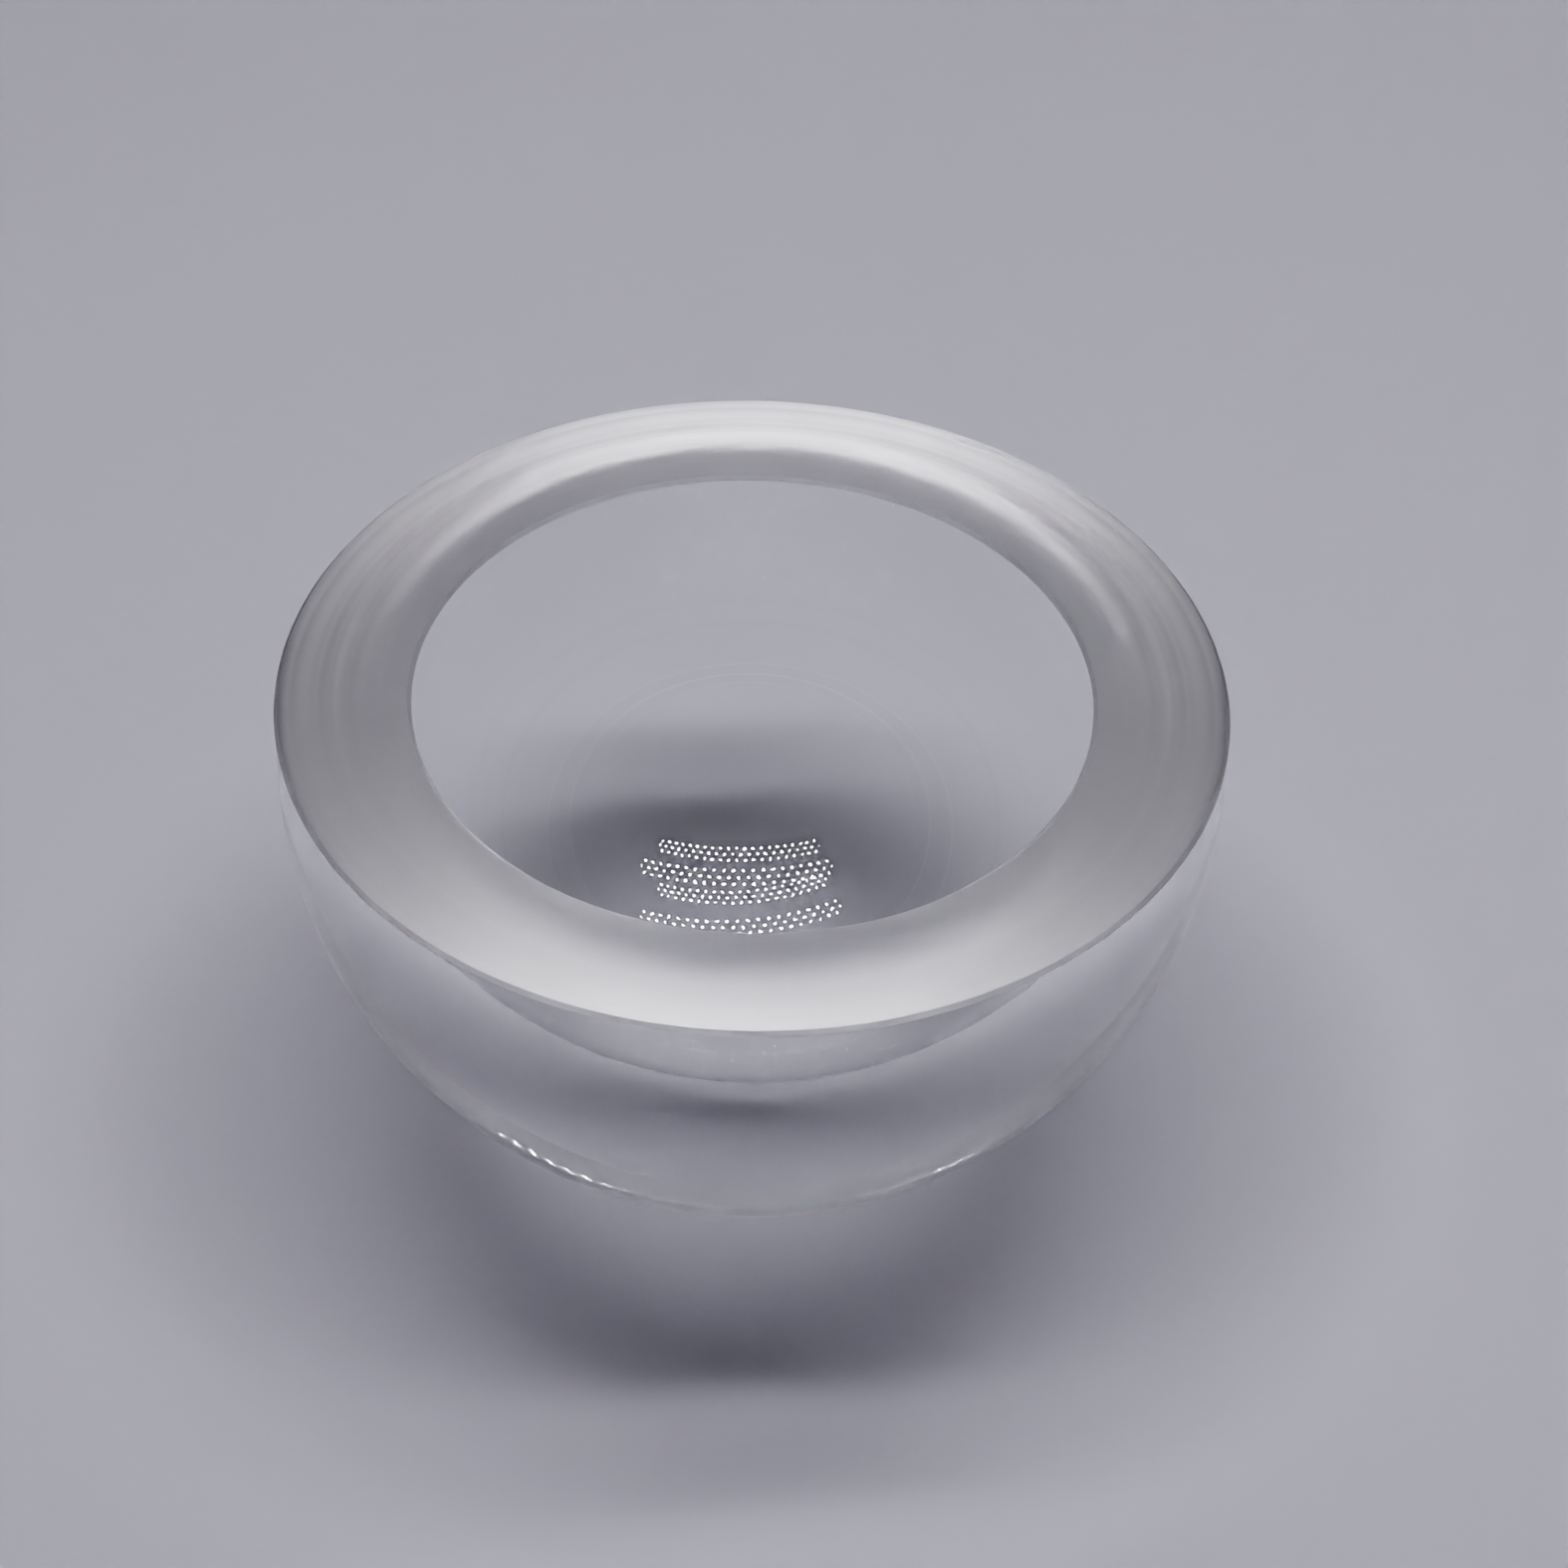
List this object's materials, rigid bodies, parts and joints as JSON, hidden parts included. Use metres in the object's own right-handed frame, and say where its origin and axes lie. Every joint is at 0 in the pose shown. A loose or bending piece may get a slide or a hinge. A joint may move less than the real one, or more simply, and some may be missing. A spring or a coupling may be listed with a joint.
{
  "type": "optical dome",
  "caption": "Thick clear glass optical dome: a concentric hemispherical shell with polished faces, a short straight collar and a flat fine-ground rim with bevelled edges.",
  "frame": {"origin": "pole of the outer sphere, where the dome rests, on the optical axis", "axes": "+Z along the optical axis, from the outer pole up to the open rim; X and Y are free because the part is round"},
  "size_m": [0.07, 0.07, 0.04],
  "materials": {
    "optical_glass": "polished faces, fine-ground rim"
  },
  "bodies": {
    "root": {"dome": "optical_glass"}
  },
  "joints": []
}
